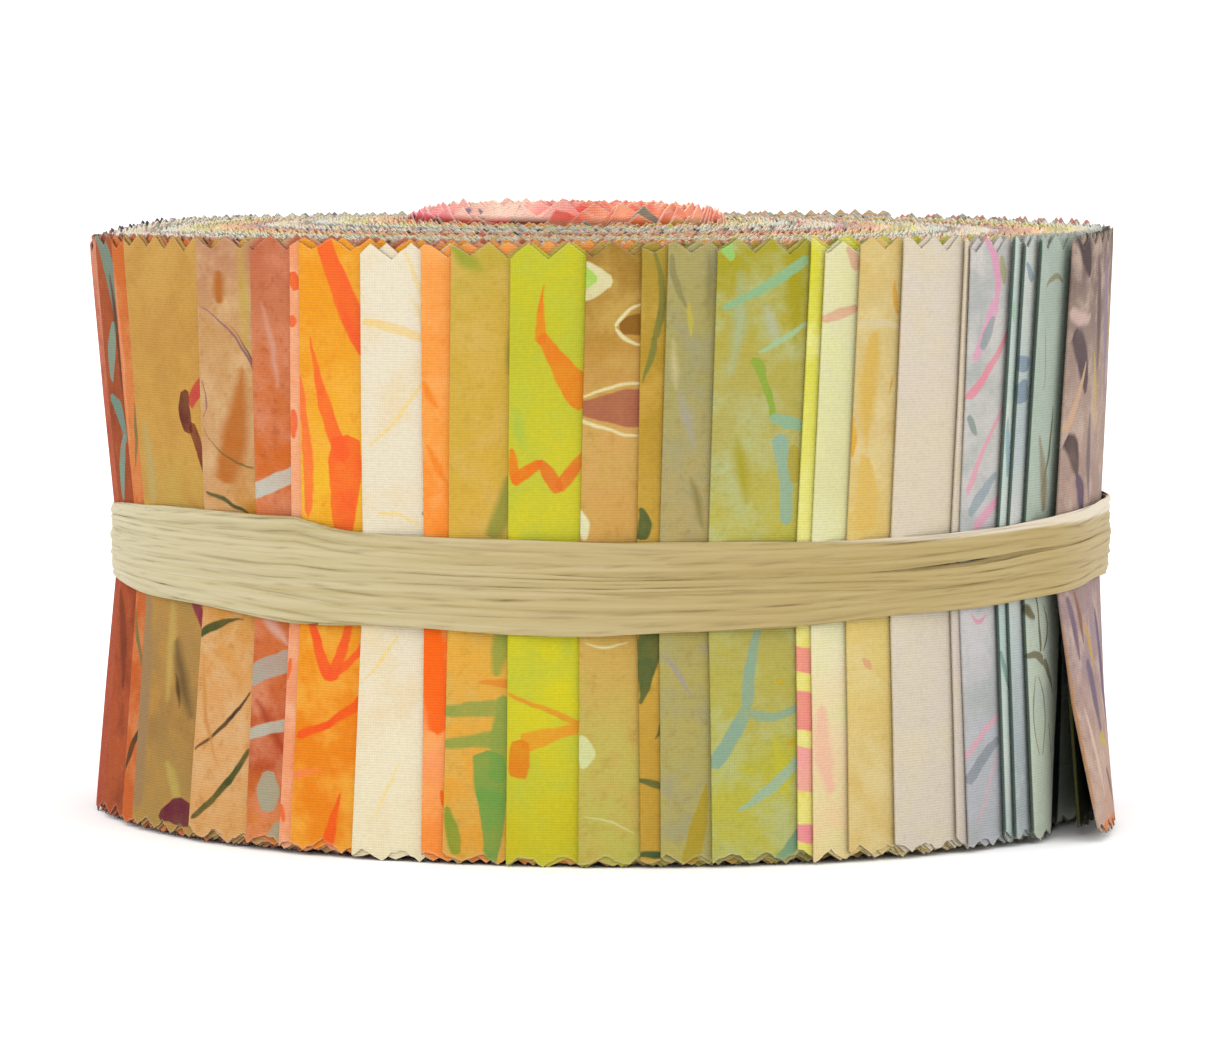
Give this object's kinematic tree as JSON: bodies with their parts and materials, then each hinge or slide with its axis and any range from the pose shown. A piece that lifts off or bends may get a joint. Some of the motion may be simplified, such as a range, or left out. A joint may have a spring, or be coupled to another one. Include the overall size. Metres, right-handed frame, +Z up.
{
  "type": "rolled fabric strips",
  "caption": "Drum-shaped roll of folded cotton strips with pinked edges, tied round the waist with raffia, the last strip's end standing a little loose.",
  "frame": {"origin": "middle of the roll's base, on the surface it stands on", "axes": "+Z up along the roll's axis, -Y towards the front with the widest run of warm colours, +X towards the loose end"},
  "size_m": [0.1121, 0.1113, 0.0662],
  "materials": {
    "strips": "matt plain-woven batik cotton in many warm, green and grey dyes",
    "loose_strip": "matt plain-woven batik cotton in mauve, brown and cream",
    "raffia": "dry creased raffia with a slight sheen"
  },
  "bodies": {
    "root": {"wound_strips": "strips", "loose_end": "loose_strip", "raffia_tie": "raffia"}
  },
  "joints": []
}
